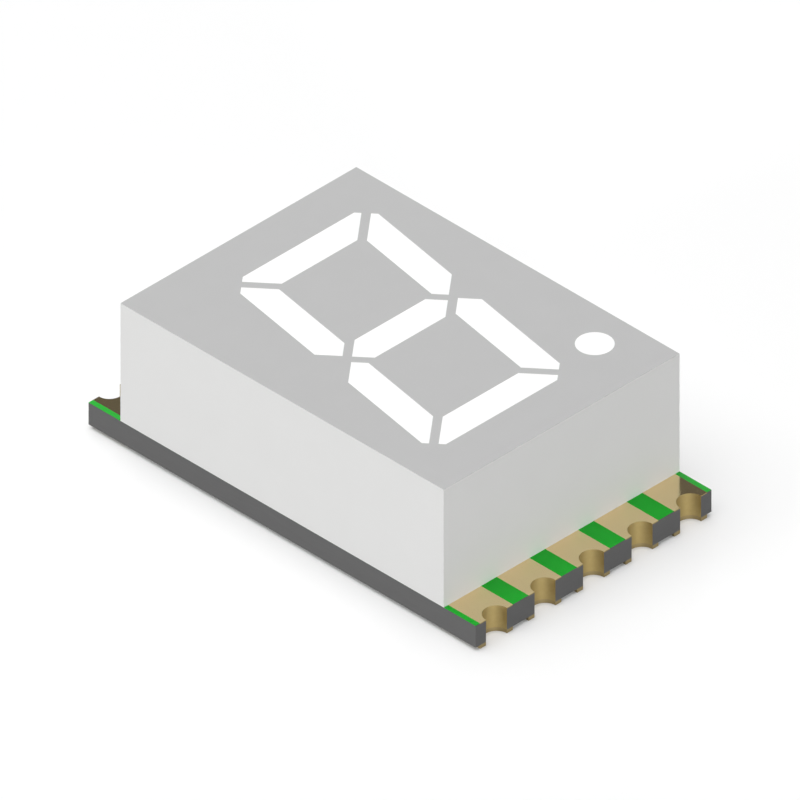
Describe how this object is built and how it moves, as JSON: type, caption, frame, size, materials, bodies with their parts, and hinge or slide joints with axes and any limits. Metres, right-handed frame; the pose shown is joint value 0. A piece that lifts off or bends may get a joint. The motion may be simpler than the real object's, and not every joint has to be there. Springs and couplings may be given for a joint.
{
  "type": "seven-segment LED display",
  "caption": "Surface-mount numeral display with slanted bars, a decimal point, a grey face and half-round gold terminals along both ends of its board.",
  "frame": {"origin": "under the middle of the board, in the plane that the solder feet stand on", "axes": "+X across the numeral to its right, +Y up the numeral, +Z out of its face"},
  "size_m": [0.0098, 0.016, 0.0051],
  "materials": {
    "laminate": "black epoxy glass laminate, sawn edges",
    "solder_mask": "green solder mask, satin",
    "gold_plating": "copper plated with nickel and gold, polished",
    "copper": "etched copper foil",
    "silver_epoxy": "silver filled glue",
    "lamp_chip": "sawn semiconductor crystal",
    "gold_wire": "drawn gold wire",
    "white_plastic": "white filled moulding plastic, fine matte",
    "grey_ink": "neutral grey printed coat, matte",
    "milky_resin": "milky white cast epoxy, smooth"
  },
  "bodies": {
    "root": {"board": "laminate", "solder_mask_top": "solder_mask", "solder_mask_bottom": "solder_mask", "terminal_1": "gold_plating", "terminal_2": "gold_plating", "terminal_3": "gold_plating", "terminal_4": "gold_plating", "terminal_5": "gold_plating", "terminal_6": "gold_plating", "terminal_7": "gold_plating", "terminal_8": "gold_plating", "terminal_9": "gold_plating", "terminal_10": "gold_plating", "common_track": "copper", "track_a": "copper", "track_b": "copper", "track_c": "copper", "track_d": "copper", "track_e": "copper", "track_f": "copper", "track_g": "copper", "track_dp": "copper", "die_attach": "silver_epoxy", "led_die_a": "lamp_chip", "led_die_b": "lamp_chip", "led_die_c": "lamp_chip", "led_die_d": "lamp_chip", "led_die_e": "lamp_chip", "led_die_f": "lamp_chip", "led_die_g": "lamp_chip", "led_die_dp": "lamp_chip", "bond_wire_a": "gold_wire", "bond_wire_b": "gold_wire", "bond_wire_c": "gold_wire", "bond_wire_d": "gold_wire", "bond_wire_e": "gold_wire", "bond_wire_f": "gold_wire", "bond_wire_g": "gold_wire", "bond_wire_dp": "gold_wire", "reflector_housing": "white_plastic", "face_coat": "grey_ink", "segment_a": "milky_resin", "segment_b": "milky_resin", "segment_c": "milky_resin", "segment_d": "milky_resin", "segment_e": "milky_resin", "segment_f": "milky_resin", "segment_g": "milky_resin", "decimal_point": "milky_resin"}
  },
  "joints": []
}
